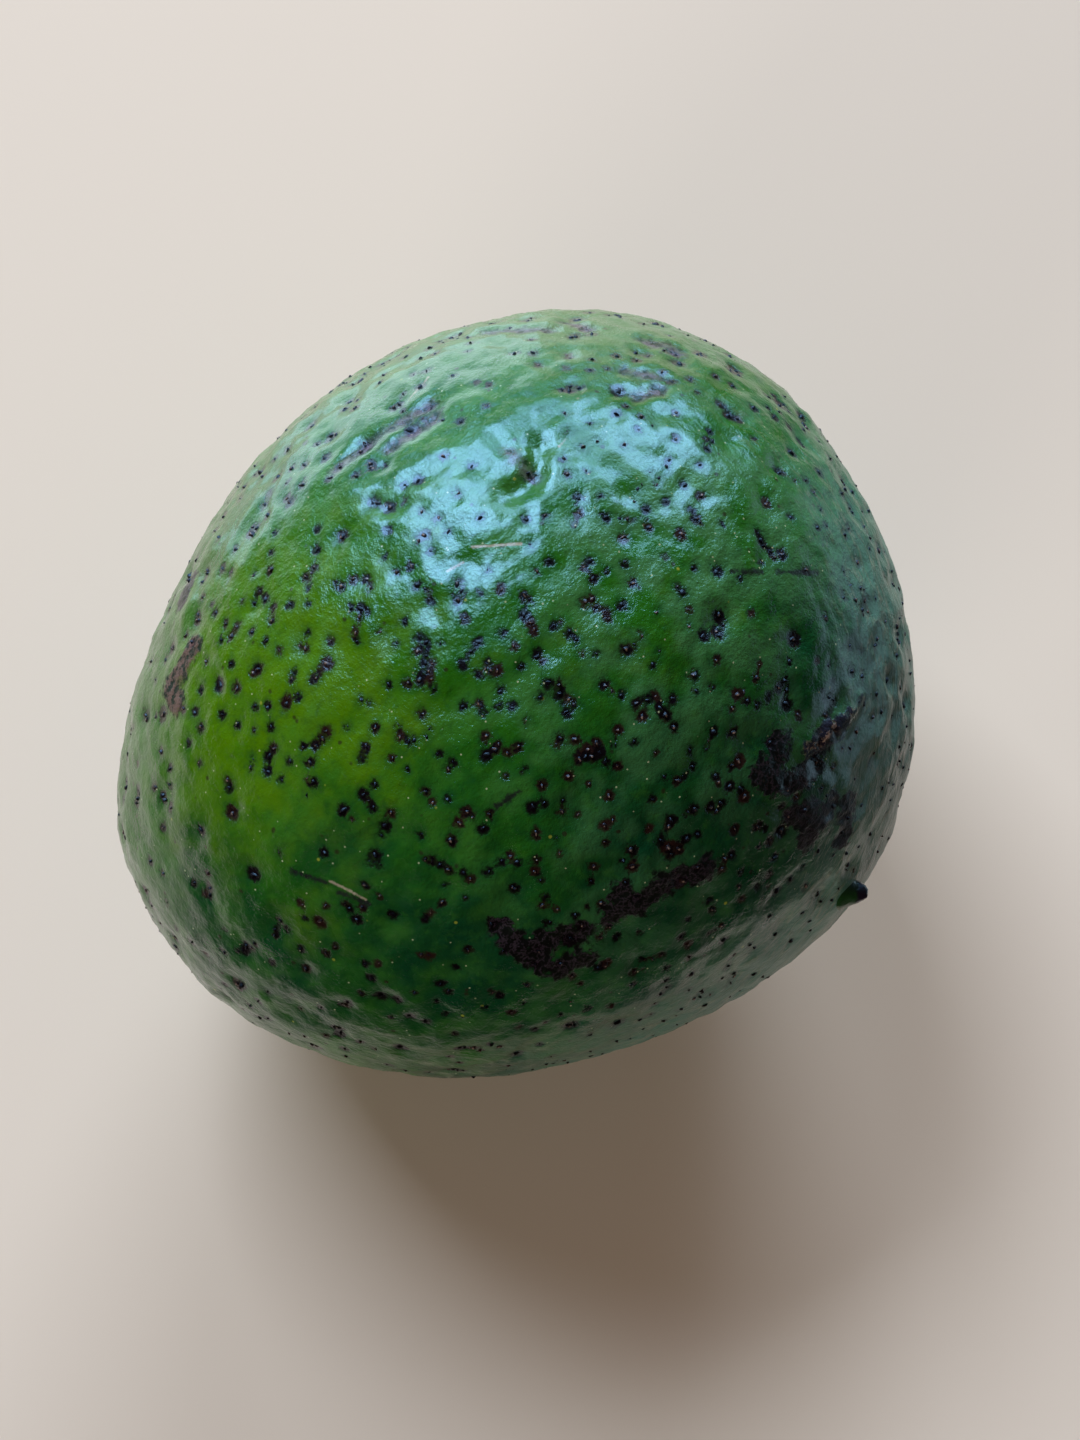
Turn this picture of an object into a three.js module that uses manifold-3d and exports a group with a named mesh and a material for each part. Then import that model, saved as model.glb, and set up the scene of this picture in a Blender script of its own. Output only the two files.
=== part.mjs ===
// A whole avocado of the large, round, green-skinned kind, lying on its side as it was picked.
// It grew as one piece, so it is one solid: the body, its pitted skin, the point that the flower left
// and the scar that the stem left. Millimetres and degrees. +Z is up, +X runs from the stem end to the
// fuller blossom end, and the origin is the middle of the small flat spot that the fruit rests on.
import * as THREE from "three";
import { mergeVertices } from "three/addons/utils/BufferGeometryUtils.js";
import Module from "manifold-3d";

// The body, an egg whose stem half is a little slimmer than its blossom half
const LENGTH = 115.5;
const BREADTH = 101.5;
const HEIGHT = 99.5;
const TAPER = 0.035;
const STEM_DIP = 8; // how far the stem end leans down, which sets the fruit's weight over its foot
const FOOT_DEPTH = 0.75; // how far the skin gives where it rests
const FOOT_SMOOTH = [9, 20]; // the fine relief starts and is full at these distances from the foot
const SKIN_STEPS = 22; // the ball that the body is shaped from has 20 x 23 x 23 faces

// Places on the body are [longitude, latitude] about its own middle: longitude from the blossom end
// towards +Y, latitude up. Long swells and hollows make it less regular than an egg.
const SWELL_SPREAD = 26;
const SWELLS = [
  { place: [-68, -11], height: 3.0 }, // shoulder under the flower's point
  { place: [156, 3], height: 1.75 }, // cheek beside the stem end
  { place: [117, 10], height: -1.7 }, // flat behind the cheek
  { place: [25, 7], height: 1.4 }, // blossom end, on the far side
  { place: [-14, -1], height: -0.4 }, // blossom end, on the near side
];

// Dents and raised scars, each a stroke between two places. A negative height is a dent.
const STROKES = [
  { from: [38, 67], to: [40, 65.5], width: 2.6, height: -0.9 }, // bruise on top
  { from: [-1, 64], to: [4, 55], width: 2.2, height: -0.5 }, // crease beside it
  { from: [-57, 37], to: [-47, 28], width: 1.8, height: 0.6 }, // cork ridge
  { from: [-69, 29], to: [-66, 25], width: 3.0, height: 0.45 }, // rough patch over the point
  { from: [-101, 42], to: [-83, 40], width: 1.8, height: 0.4 }, // chain of warts
  { from: [-120, 45], to: [-107, 36], width: 2.0, height: 0.45 }, // branched scar
  { from: [89, 55], to: [65, 52], width: 1.8, height: -0.45 }, // rubbed streak
  { from: [133, 44], to: [143, 40], width: 2.2, height: 0.4 }, // tan scar by the stem end
  { from: [-50, 2], to: [-49, 1], width: 1.5, height: 0.8 }, // lone wart
];

// Shallow pits, one round each group of corky pores, thinner towards the stem end
const PIT_COUNT = 430;
const PIT_SPACING = 5.2;
const PIT_DEPTH = [0.22, 0.5];
const PIT_WIDTH = [1.7, 2.7];
const STEM_END_THINNING = 0.55; // share of the pits that the stem end is without
const STEM_END_REACH = [0.2, 0.8]; // where the thinning starts and is full, towards the stem end

// Leathery unevenness of the skin between the pits: a sum of waves in space
const WAVE_COUNT = 16;
const WAVE_LENGTH = [9, 17];
const WAVE_HEIGHT = 0.085;

// The point that the flower's style left, on a low mound
const POINT_PLACE = [-71, 6];
const POINT_HEADING = [-47, 2]; // it leans over, towards this direction
const POINT_ROOT = 4;
const POINT_MOUND = { width: 4.2, height: 0.6 };
const POINT_PROFILE = [
  // [radius, height above the skin]
  [0, -POINT_ROOT],
  [2.8, -POINT_ROOT],
  [2.7, -0.6],
  [2.1, 0.4],
  [1.7, 1.2],
  [1.45, 1.9],
  [1.1, 2.5],
  [0.55, 2.9],
  [0, 3],
];
const POINT_SIDES = 12;

// The scar that the stem left: a hollow with a corky ring and a sunken middle
const STEM_PLACE = [178, -16];
const STEM_HOLLOW = { width: 8.5, depth: 2.6 };
const STEM_ROOT = 3;
const STEM_RING = [
  [0, -STEM_ROOT],
  [4.6, -STEM_ROOT],
  [4.7, 0],
  [4.2, 0.7],
  [3.3, 0.8],
  [2.7, 0.3],
  [0, 0.15],
];
const STEM_SIDES = 16;

const SEED = 20611;
const FOOT_SEARCH = { reach: 30, step: 0.25 }; // degrees either side of straight down
const SLAB = 400; // a block larger than the fruit, which cuts the foot flat

const wasm = await Module();
wasm.setup();

const radians = THREE.MathUtils.degToRad;
const mix = THREE.MathUtils.lerp;
const smoothstep = THREE.MathUtils.smoothstep;
const MEAN_RADIUS = (LENGTH + BREADTH + HEIGHT) / 6;
const ACROSS = new THREE.Vector3(0, 1, 0);

// Repeatable random numbers from 0 to 1
function drawFrom(seed) {
  let state = seed;
  return () => {
    state = (state * 16807) % 2147483647;
    return state / 2147483647;
  };
}

function directionOf([longitude, latitude]) {
  const lon = radians(longitude);
  const lat = radians(latitude);
  return new THREE.Vector3(
    Math.cos(lat) * Math.cos(lon),
    Math.cos(lat) * Math.sin(lon),
    Math.sin(lat),
  );
}

function randomDirection(draw) {
  const z = 2 * draw() - 1;
  const turn = 2 * Math.PI * draw();
  const flat = Math.sqrt(1 - z * z);
  return new THREE.Vector3(flat * Math.cos(turn), flat * Math.sin(turn), z);
}

// The plain egg's surface in a direction from its middle
function egg(direction) {
  const girth = 0.5 / Math.sqrt(1 - 4 * TAPER * direction.x + 4 * TAPER * TAPER);
  return new THREE.Vector3(
    (LENGTH / 2) * direction.x,
    BREADTH * girth * direction.y,
    HEIGHT * girth * direction.z,
  );
}

function bell(distance, width) {
  return Math.exp(-((distance / width) ** 2));
}

function total(list, term) {
  return list.reduce((sum, item) => sum + term(item), 0);
}

// Where the leaning egg touches the ground, in its own frame and leaning
function lowestPoint() {
  let best = null;
  for (let tilt = -FOOT_SEARCH.reach; tilt <= FOOT_SEARCH.reach; tilt += FOOT_SEARCH.step) {
    const direction = directionOf([0, -90]).applyAxisAngle(ACROSS, radians(tilt));
    const leaning = lean(egg(direction));
    if (!best || leaning.z < best.leaning.z) best = { direction, leaning };
  }
  return best;
}

function lean(point) {
  return point.clone().applyAxisAngle(ACROSS, -radians(STEM_DIP));
}

// Pits are drawn one after another and kept where they have room
function drawPits(draw) {
  const kept = [];
  while (kept.length < PIT_COUNT) {
    const direction = randomDirection(draw);
    const depth = mix(...PIT_DEPTH, draw());
    const width = mix(...PIT_WIDTH, draw());
    const thinning = STEM_END_THINNING * smoothstep(-direction.x, ...STEM_END_REACH);
    const thinned = draw() < thinning;
    const centre = egg(direction);
    const crowded = kept.some((pit) => pit.centre.distanceTo(centre) < PIT_SPACING);
    if (!thinned && !crowded) kept.push({ centre, depth, width });
  }
  return kept;
}

function drawWaves(draw) {
  return Array.from({ length: WAVE_COUNT }, () => {
    const vector = randomDirection(draw).multiplyScalar((2 * Math.PI) / mix(...WAVE_LENGTH, draw()));
    return { vector, phase: 2 * Math.PI * draw() };
  });
}

function distanceToStroke(point, stroke) {
  const line = new THREE.Line3(egg(directionOf(stroke.from)), egg(directionOf(stroke.to)));
  return line.closestPointToPoint(point, true, new THREE.Vector3()).distanceTo(point);
}

const draw = drawFrom(SEED);
const pits = drawPits(draw);
const waves = drawWaves(draw);
const foot = lowestPoint();

// Broad form: how far the body stands out of the plain egg
function swelling(direction) {
  return total(SWELLS, ({ place, height }) => {
    const angle = direction.angleTo(directionOf(place));
    return height * bell(angle, radians(SWELL_SPREAD));
  });
}

// Fine form: pits, waves, strokes, the point's mound and the stem's hollow. It fades out at the foot.
function relief(direction) {
  const point = egg(direction);
  const awayFrom = (place) => point.distanceTo(egg(directionOf(place)));
  const pitted = total(pits, (pit) => -pit.depth * bell(point.distanceTo(pit.centre), pit.width));
  const waved = total(waves, (wave) => WAVE_HEIGHT * Math.sin(wave.vector.dot(point) + wave.phase));
  const stroked = total(STROKES, (stroke) => {
    return stroke.height * bell(distanceToStroke(point, stroke), stroke.width);
  });
  const mound = POINT_MOUND.height * bell(awayFrom(POINT_PLACE), POINT_MOUND.width);
  const hollow = STEM_HOLLOW.depth * bell(awayFrom(STEM_PLACE), STEM_HOLLOW.width);
  const footDistance = direction.angleTo(foot.direction) * MEAN_RADIUS;
  const clearOfFoot = smoothstep(footDistance, ...FOOT_SMOOTH);
  return clearOfFoot * (pitted + waved + stroked) + mound - hollow;
}

function skinPoint(direction) {
  return egg(direction).addScaledVector(direction, swelling(direction) + relief(direction));
}

// Turns a three.js geometry into a solid
function solidOf(geometry) {
  const bare = geometry.clone();
  bare.deleteAttribute("normal");
  bare.deleteAttribute("uv");
  const merged = mergeVertices(bare, 1e-4);
  return new wasm.Manifold(
    new wasm.Mesh({
      numProp: 3,
      vertProperties: merged.attributes.position.array,
      triVerts: new Uint32Array(merged.index.array),
    }),
  );
}

function geometryOf(solid) {
  const { vertProperties, triVerts } = solid.getMesh();
  const geometry = new THREE.BufferGeometry();
  geometry.setAttribute("position", new THREE.BufferAttribute(vertProperties, 3));
  geometry.setIndex(new THREE.BufferAttribute(triVerts, 1));
  geometry.computeVertexNormals();
  return geometry;
}

function bodyGeometry() {
  const ball = new THREE.IcosahedronGeometry(1, SKIN_STEPS);
  const position = ball.getAttribute("position");
  const direction = new THREE.Vector3();
  for (let i = 0; i < position.count; i++) {
    direction.fromBufferAttribute(position, i).normalize();
    position.setXYZ(i, ...skinPoint(direction));
  }
  return ball;
}

// A turned form that stands on the skin at a place, along an axis
function turnedGeometry(profile, sides, place, axis) {
  const outline = profile.map(([radius, height]) => new THREE.Vector2(radius, height));
  const upright = new THREE.Quaternion().setFromUnitVectors(new THREE.Vector3(0, 1, 0), axis);
  const seat = skinPoint(directionOf(place));
  return new THREE.LatheGeometry(outline, sides)
    .applyMatrix4(new THREE.Matrix4().compose(seat, upright, new THREE.Vector3(1, 1, 1)));
}

// Everything below the ground, so that the foot is cut flat. It is in the frame of the finished part.
function groundGeometry() {
  return new THREE.BoxGeometry(SLAB, SLAB, SLAB).translate(0, 0, -SLAB / 2);
}

function standOnFoot(geometry) {
  return geometry
    .rotateY(-radians(STEM_DIP))
    .translate(-foot.leaning.x, 0, -foot.leaning.z - FOOT_DEPTH);
}

function avocadoGeometry() {
  const pointAxis = directionOf(POINT_HEADING);
  const stemAxis = directionOf(STEM_PLACE);
  const body = solidOf(standOnFoot(bodyGeometry()));
  const point = solidOf(standOnFoot(turnedGeometry(POINT_PROFILE, POINT_SIDES, POINT_PLACE, pointAxis)));
  const ring = solidOf(standOnFoot(turnedGeometry(STEM_RING, STEM_SIDES, STEM_PLACE, stemAxis)));
  return geometryOf(body.add(point).add(ring).subtract(solidOf(groundGeometry())));
}

const skin = new THREE.MeshStandardMaterial({ color: 0x2c5a1b, roughness: 0.32, metalness: 0 });

const avocado = new THREE.Mesh(avocadoGeometry(), skin);
avocado.name = "avocado";

const part = new THREE.Group();
part.add(avocado);

export default part;
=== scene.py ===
import math

import bpy
from mathutils import Matrix, Vector, noise
from mathutils.bvhtree import BVHTree


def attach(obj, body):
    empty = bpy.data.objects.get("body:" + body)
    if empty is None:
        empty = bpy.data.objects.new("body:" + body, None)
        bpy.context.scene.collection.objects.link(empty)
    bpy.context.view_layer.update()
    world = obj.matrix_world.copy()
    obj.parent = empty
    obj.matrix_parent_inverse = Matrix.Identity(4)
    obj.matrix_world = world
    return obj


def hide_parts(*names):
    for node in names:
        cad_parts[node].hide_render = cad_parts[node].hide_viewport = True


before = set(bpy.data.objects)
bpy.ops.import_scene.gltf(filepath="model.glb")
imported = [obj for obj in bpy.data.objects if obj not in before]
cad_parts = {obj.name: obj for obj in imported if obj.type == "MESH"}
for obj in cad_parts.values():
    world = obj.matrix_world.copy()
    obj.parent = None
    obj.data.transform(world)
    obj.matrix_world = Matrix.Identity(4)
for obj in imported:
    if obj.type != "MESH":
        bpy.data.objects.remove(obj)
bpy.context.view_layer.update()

# A whole avocado lying on its side. Sizes are in millimetres here and become metres as they are used.
MM = 0.001

# The body, an egg whose stem half is a little slimmer than its blossom half
LENGTH = 115.5
BREADTH = 101.5
HEIGHT = 99.5
TAPER = 0.035
STEM_DIP = 8
FOOT_DEPTH = 0.75
FOOT_SMOOTH = (9, 20)
FOOT_SEARCH = (30, 0.25)
MEAN_RADIUS = (LENGTH + BREADTH + HEIGHT) / 6

# Swells and hollows as (longitude, latitude, height), seen from the body's middle
SWELL_SPREAD = 26
SWELLS = ((-68, -11, 3.0), (156, 3, 1.75), (117, 10, -1.7), (25, 7, 1.4), (-14, -1, -0.4))

# Pits of the pore groups
PIT_COUNT = 430
PIT_SPACING = 5.2
PIT_DEPTH = (0.22, 0.5)
PIT_WIDTH = (1.7, 2.7)
STEM_END_THINNING = 0.55
STEM_END_REACH = (0.2, 0.8)
SEED = 20611

# The point that the flower left and the scar that the stem left
POINT_PLACE = (-71, 6)
POINT_HEADING = (-47, 2)
POINT_MOUND = (4.2, 0.6)
POINT_PROFILE = (
    (2.8, -4), (2.7, -0.6), (2.1, 0.4), (1.65, 1.1), (1.35, 1.75), (1.05, 2.3), (0.6, 2.75), (0, 2.85),
)
STEM_PLACE = (178, -16)
STEM_HOLLOW = (8.5, 2.6)
STEM_RING = ((4.6, -3), (4.7, 0), (4.2, 0.7), (3.3, 0.8), (2.7, 0.3), (0, 0.15))

# The photo and its camera
PHOTO_WIDTH = 1080
PHOTO_HEIGHT = 1440
FOCAL_PIXELS = 2164
SENSOR = 36
VIEW_AZIMUTH = -38
VIEW_ELEVATION = 74
VIEW_DISTANCE = 308
BODY_PIXEL = (510.9, 705.3)

# The plainest pores: the photo's pixels that show them, and their radius in tenths of a millimetre
PORES_SEEN = {
    "lime cheek": (
        (188, 580, 8), (215, 612, 7), (250, 573, 5), (258, 590, 7), (264, 598, 9), (254, 603, 6),
        (272, 607, 7), (271, 620, 7), (242, 600, 5), (236, 627, 9), (231, 636, 9), (264, 640, 6),
        (277, 650, 8), (298, 645, 6), (304, 648, 6), (294, 672, 5), (292, 678, 6), (316, 678, 9),
        (327, 664, 12), (233, 688, 10), (298, 696, 8), (286, 704, 10), (290, 698, 6), (252, 707, 8),
        (235, 725, 8), (270, 727, 7), (254, 730, 5), (303, 747, 5), (314, 746, 8), (325, 732, 9),
        (321, 739, 7), (345, 727, 4), (365, 747, 7), (361, 758, 7), (253, 759, 5), (252, 768, 8),
        (228, 780, 7), (229, 788, 8), (280, 780, 6), (312, 783, 9), (306, 779, 5), (305, 795, 4),
        (169, 768, 7), (187, 742, 7), (193, 712, 8), (375, 785, 6), (363, 794, 8), (368, 800, 6),
        (373, 808, 7), (345, 810, 11), (353, 818, 5), (385, 827, 11), (382, 835, 6), (375, 855, 11),
        (370, 861, 7), (381, 864, 7), (325, 853, 8), (279, 853, 5),
    ),
    "left of the highlight": (
        (340, 586, 8), (335, 581, 6), (304, 577, 6), (308, 587, 5), (313, 566, 7), (310, 572, 5),
        (365, 578, 8), (352, 579, 7), (370, 587, 6), (360, 608, 10), (350, 608, 7), (367, 612, 6),
        (359, 617, 6), (355, 633, 7), (358, 641, 6), (380, 632, 6), (396, 643, 5), (404, 621, 6),
        (410, 565, 8), (388, 685, 5), (360, 700, 6), (367, 702, 4), (400, 737, 8), (409, 741, 9),
        (415, 740, 6), (398, 725, 4), (430, 729, 4), (427, 737, 5), (439, 754, 6), (452, 764, 6),
        (448, 770, 6), (408, 769, 4), (425, 792, 7), (432, 803, 5), (447, 800, 7), (451, 842, 10),
    ),
    "tall patch": (
        (419, 637, 8), (425, 642, 8), (418, 650, 9), (427, 650, 7), (421, 645, 6), (425, 662, 9),
        (432, 664, 6), (430, 671, 7), (420, 671, 5), (408, 683, 8), (420, 680, 9), (431, 679, 7),
        (433, 690, 6), (426, 656, 5),
    ),
    "highlight": (
        (461, 421, 6), (487, 408, 5), (443, 457, 7), (457, 493, 7), (472, 465, 7), (437, 516, 7),
        (447, 530, 5), (480, 519, 8), (527, 519, 7), (529, 545, 6), (565, 417, 5), (590, 425, 7),
        (567, 434, 6), (583, 449, 8), (597, 443, 5), (564, 460, 7), (567, 474, 7), (587, 472, 4),
        (624, 446, 6), (617, 413, 7), (653, 422, 5), (669, 461, 7), (666, 467, 6), (658, 480, 8),
        (650, 475, 6), (656, 486, 6), (637, 491, 8), (634, 502, 7), (641, 486, 5), (580, 513, 8),
        (600, 497, 5), (606, 518, 8), (602, 515, 5), (627, 520, 7), (621, 519, 6), (633, 521, 6),
        (681, 534, 9), (697, 518, 10), (693, 510, 8), (700, 522, 6), (703, 494, 8), (708, 447, 9),
        (707, 438, 6), (713, 441, 5), (410, 564, 6), (416, 584, 9), (424, 588, 5), (429, 599, 7),
        (427, 590, 5), (423, 534, 10), (430, 549, 7), (418, 540, 6), (457, 582, 9), (460, 590, 8),
        (457, 600, 8), (453, 593, 6), (501, 589, 8), (487, 569, 5), (537, 571, 5), (549, 561, 8),
    ),
    "under the highlight": (
        (525, 595, 9), (529, 600, 6), (524, 614, 8), (530, 622, 8), (534, 630, 7), (555, 624, 8),
        (560, 620, 5), (570, 631, 7), (577, 638, 6), (582, 651, 6), (590, 560, 8), (585, 566, 6),
        (607, 570, 6), (592, 598, 8), (586, 602, 7), (596, 606, 7), (604, 611, 6), (609, 618, 6),
        (633, 583, 9), (638, 587, 5), (654, 613, 8), (682, 593, 8), (676, 588, 5), (688, 628, 6),
        (703, 636, 10), (627, 649, 10), (633, 645, 5), (640, 636, 6), (658, 652, 4), (695, 675, 8),
        (597, 653, 4), (665, 557, 5), (503, 633, 8), (514, 646, 7), (479, 642, 8), (470, 651, 6),
        (464, 664, 8), (487, 663, 7), (479, 675, 6), (490, 671, 8), (497, 671, 9), (485, 669, 5),
        (538, 655, 11), (542, 660, 6), (548, 683, 8), (560, 685, 8), (560, 694, 10), (568, 699, 9),
        (574, 705, 8), (567, 712, 8), (540, 697, 6), (605, 685, 8), (612, 690, 5), (622, 695, 6),
    ),
    "middle": (
        (463, 706, 7), (479, 703, 7), (483, 714, 6), (440, 643, 4), (500, 690, 6), (499, 705, 6),
        (512, 707, 8), (526, 721, 4), (638, 703, 8), (648, 700, 8), (656, 697, 7), (660, 708, 8),
        (665, 716, 10), (643, 717, 10), (674, 728, 8), (560, 738, 7), (556, 745, 4), (487, 755, 10),
        (494, 750, 9), (498, 745, 6), (508, 753, 7), (518, 747, 7), (580, 759, 9), (588, 750, 10),
        (597, 744, 10), (600, 753, 10), (593, 757, 8), (606, 762, 9), (585, 757, 7), (615, 745, 5),
        (634, 742, 5), (655, 752, 4), (569, 776, 8), (524, 769, 6), (506, 775, 5), (542, 785, 8),
        (609, 796, 8), (533, 806, 11), (543, 803, 8), (563, 801, 6), (562, 810, 8), (578, 815, 6),
        (489, 815, 6), (467, 813, 10), (459, 825, 10), (472, 817, 6), (536, 833, 9), (556, 837, 4),
        (605, 826, 9), (613, 820, 5), (605, 842, 7), (654, 800, 7), (650, 828, 8), (631, 850, 11),
        (632, 866, 11), (623, 861, 7), (594, 866, 8), (510, 857, 9), (517, 863, 8), (503, 862, 7),
        (534, 871, 9), (541, 879, 7), (432, 862, 8), (440, 866, 9), (448, 870, 8), (426, 860, 6),
        (464, 873, 7), (470, 879, 7), (488, 872, 7), (445, 885, 5), (545, 895, 8), (543, 905, 8),
    ),
    "right": (
        (693, 674, 7), (739, 694, 10), (748, 701, 7), (744, 692, 5), (770, 699, 8), (757, 678, 7),
        (760, 665, 5), (781, 688, 9), (787, 681, 7), (790, 690, 6), (788, 704, 11), (758, 706, 7),
        (713, 732, 7), (735, 734, 9), (740, 762, 11), (733, 766, 6), (689, 751, 7), (706, 749, 5),
        (693, 767, 7), (678, 781, 9), (685, 776, 5), (665, 778, 6), (716, 776, 8), (717, 783, 6),
        (730, 787, 9), (745, 797, 11), (741, 789, 7), (711, 807, 9), (721, 804, 9), (716, 811, 6),
        (694, 810, 9), (688, 813, 6), (654, 800, 6), (672, 821, 11), (669, 827, 7), (757, 826, 9),
        (764, 828, 7), (731, 855, 9), (725, 858, 5), (722, 869, 9), (776, 857, 9), (741, 898, 7),
        (787, 790, 7), (822, 789, 6), (661, 840, 9), (669, 848, 14), (679, 850, 10), (671, 855, 8),
        (688, 840, 9), (699, 835, 7), (854, 672, 9), (865, 675, 9), (708, 741, 4),
    ),
    "underneath": (
        (712, 909, 8), (720, 925, 8), (709, 932, 8), (714, 929, 7), (687, 943, 9), (661, 955, 8),
        (643, 960, 7), (652, 959, 5), (606, 966, 11), (598, 969, 7), (634, 971, 8), (642, 970, 5),
        (665, 967, 7), (692, 975, 9), (665, 980, 8), (668, 988, 7), (661, 994, 7), (650, 1016, 7),
        (641, 1021, 7), (791, 941, 9), (736, 958, 8), (752, 947, 7), (774, 933, 8), (771, 918, 7),
        (430, 913, 7), (425, 920, 5), (350, 908, 8), (357, 920, 10), (346, 903, 6), (363, 907, 7),
        (430, 957, 8), (421, 955, 6), (441, 985, 9), (448, 992, 7), (437, 1001, 6), (410, 1015, 9),
        (415, 990, 5), (500, 995, 9), (492, 992, 5), (455, 970, 5), (372, 978, 8), (300, 1010, 6),
        (500, 1045, 8), (491, 1042, 6), (455, 1033, 7), (360, 1042, 7), (345, 1058, 6), (450, 1058, 7),
        (290, 1032, 5), (305, 1033, 5), (560, 1012, 8), (590, 1035, 7), (545, 1020, 6), (466, 898, 5),
        (610, 930, 8), (640, 935, 6), (570, 1000, 6), (610, 1005, 8),
    ),
}

# Blackened patches of peel, as lines that they follow
SMUDGES = {
    "wide patch on the right": ((762, 774), (774, 764), (779, 744)),
    "its lower edge": ((768, 782), (786, 783), (802, 776), (815, 762)),
    "ridged patch over the point": ((797, 816), (811, 814), (815, 828), (811, 844)),
    "ridge beside it": ((817, 836), (826, 818), (833, 804)),
    "flank of the cork": ((818, 739), (830, 734), (844, 728)),
    "outer ridge": ((843, 838), (846, 822), (847, 803)),
    "chain below": ((611, 917), (634, 908), (652, 897), (668, 886), (688, 877), (706, 870)),
    "start of the chain": ((620, 896), (634, 905)),
    "low scar": ((502, 930), (514, 945), (538, 945), (560, 935), (584, 931)),
    "branch of the low scar": ((530, 955), (545, 966), (560, 970), (582, 961)),
    "left patch": ((190, 583), (184, 596)),
}
# Raised brown cork
CORKS = {
    "ridge on the right": ((802, 746), (817, 742), (828, 731), (842, 721), (854, 712), (866, 703)),
}
# Dry, granular scabs
SCABS = {
    "scab by the stem end": ((191, 645), (181, 662), (169, 681), (164, 688), (175, 704)),
}
# Rubbed, lilac-grey peel
RUBS = {
    "streak at the top left": ((338, 470), (371, 444), (401, 421), (431, 403)),
    "knob beside the fold": ((509, 457), (519, 464), (529, 472)),
    "thin line by the streak": ((389, 447), (417, 428), (436, 412)),
    "streaks along the top": ((487, 331), (516, 328), (548, 329)),
    "dash beside them": ((568, 323), (588, 329)),
    "dash right of the top": ((645, 341), (664, 345), (682, 353)),
    "dash under it": ((626, 370), (642, 374), (655, 376)),
    "dash over the highlight": ((636, 394), (650, 392), (662, 388)),
}
MARKS = {"smudge": SMUDGES, "cork": CORKS, "rub": RUBS, "scab": SCABS}
# A deep fold in the peel, and the wrinkled knob that it bends round
FOLDS = {
    "fold round the knob": ((539, 446), (538, 468), (532, 483), (513, 490)),
}
KNOB_PIXEL = (518, 466)
# Hair-thin pale scratches, from pixel to pixel
SCRATCHES = (
    ((472, 547), (521, 544)), ((566, 440), (559, 447)), ((447, 571), (463, 562)),
    ((578, 399), (586, 390)), ((408, 399), (428, 377)), ((330, 881), (352, 891)), ((343, 887), (366, 899)),
)
# Thin black streaks
STREAKS = (
    ((733, 571), (762, 572)), ((780, 572), (817, 573)), ((833, 680), (830, 712)),
    ((822, 690), (828, 716)), ((292, 871), (326, 882)), ((340, 892), (368, 903)), ((497, 806), (519, 791)),
)

# Zones of the peel's colour: pixel of their middle, how far they reach, and their depth in the mix. The deep
# zones lie low and on the right, away from the light, and are partly painted shade
LIME_ZONES = (
    ((255, 685), 25, 1.0), ((205, 780), 17, 0.7), ((320, 560), 19, 0.55), ((303, 922), 7, 0.7),
    ((640, 560), 22, 0.25),
)
DEEP_AND_SHADED_ZONES = (
    ((760, 930), 44, 1.0), ((860, 700), 26, 0.8), ((480, 990), 26, 0.8), ((240, 970), 27, 0.72),
    ((500, 880), 20, 0.5), ((540, 1070), 30, 0.8), ((330, 870), 15, 0.55),
)

# Linear colours
LIME = (0.069, 0.205, 0.0002)
GREEN = (0.015, 0.125, 0.003)
# Deep blue-green: the peel's own tone in its mottling, and painted shade with a bluish painted sky reflection
# in the deep zones and round the pores
DEEP_GREEN_AND_SHADE = (0.003, 0.047, 0.02)
# Pale waxy clouds: a fine pale tone of the peel, and painted sheen of a hazy reflection, milkier towards the
# picture's right
WAX_TONE_AND_SHEEN = (0.04, 0.19, 0.02)
MILKY_SHEEN = (0.06, 0.2, 0.09)
BARK_BLACK = (0.005, 0.003, 0.005)
PURPLE_BLACK = (0.012, 0.007, 0.018)
RED_BROWN = (0.022, 0.01, 0.009)
TAN = (0.33, 0.26, 0.23)
SCAB = (0.15, 0.085, 0.085)
RIM_GREY = (0.18, 0.24, 0.17)
# Painted sheen near the outline, for the reflection at the grazing edge: pale on the upper left, teal on the
# right
PALE_RIM_SHEEN = (0.2, 0.32, 0.17)
TEAL_RIM_SHEEN = (0.1, 0.27, 0.24)
LILAC = (0.13, 0.1, 0.17)
# Pale specks, partly painted glints
SPECK_AND_GLINT = (0.5, 0.62, 0.42)
PALE_SCAR = (0.5, 0.44, 0.4)
YELLOW_DOT = (0.35, 0.42, 0.05)
POINT_GREEN = (0.009, 0.05, 0.012)
POINT_BLACK = (0.012, 0.007, 0.02)
STEM_DARK = (0.03, 0.016, 0.01)
STEM_BROWN = (0.2, 0.11, 0.055)
FLOOR_COLOUR = (0.705, 0.685, 0.66)

# Pores: those in the pits, alone or in clusters, and loose ones between them
SEEN_SCALE = 0.072
SEEN_ROOM = 2.9
SINGLE_SHARE = 0.42
SINGLE_RADIUS = (0.62, 1.02)
CLUSTER_COUNT = (2, 6)
CLUSTER_STEP = 0.5
CLUSTER_WIDTH = 0.95
CLUSTER_RADIUS = (0.42, 0.78)
LOOSE_PORES = 2000
LOOSE_RADIUS = (0.34, 0.64)
LOOSE_ROOM = 1.7
BARE_ROOM = (3.4, 6.5, 11)

# Relief of the peel, in millimetres: the size of its features, and how deep they are
SKIN_STEPS = 128
NOISE_SEED = 11
LEATHER = (13, 0.55)
PEBBLE = (4.4, 0.46)
RELIEF_GAIN = 2.2
CRATER_DEPTH = 0.3
CRATER_WIDTH = (0.8, 0.75)
WOBBLE = (2.2, 2.4)
ROUGH_SIZE = 0.9
FOLD = (1.5, 1.2)
KNOB = (2.8, 0.5)
KNOB_WRINKLES = (1.5, 1.0)

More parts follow.
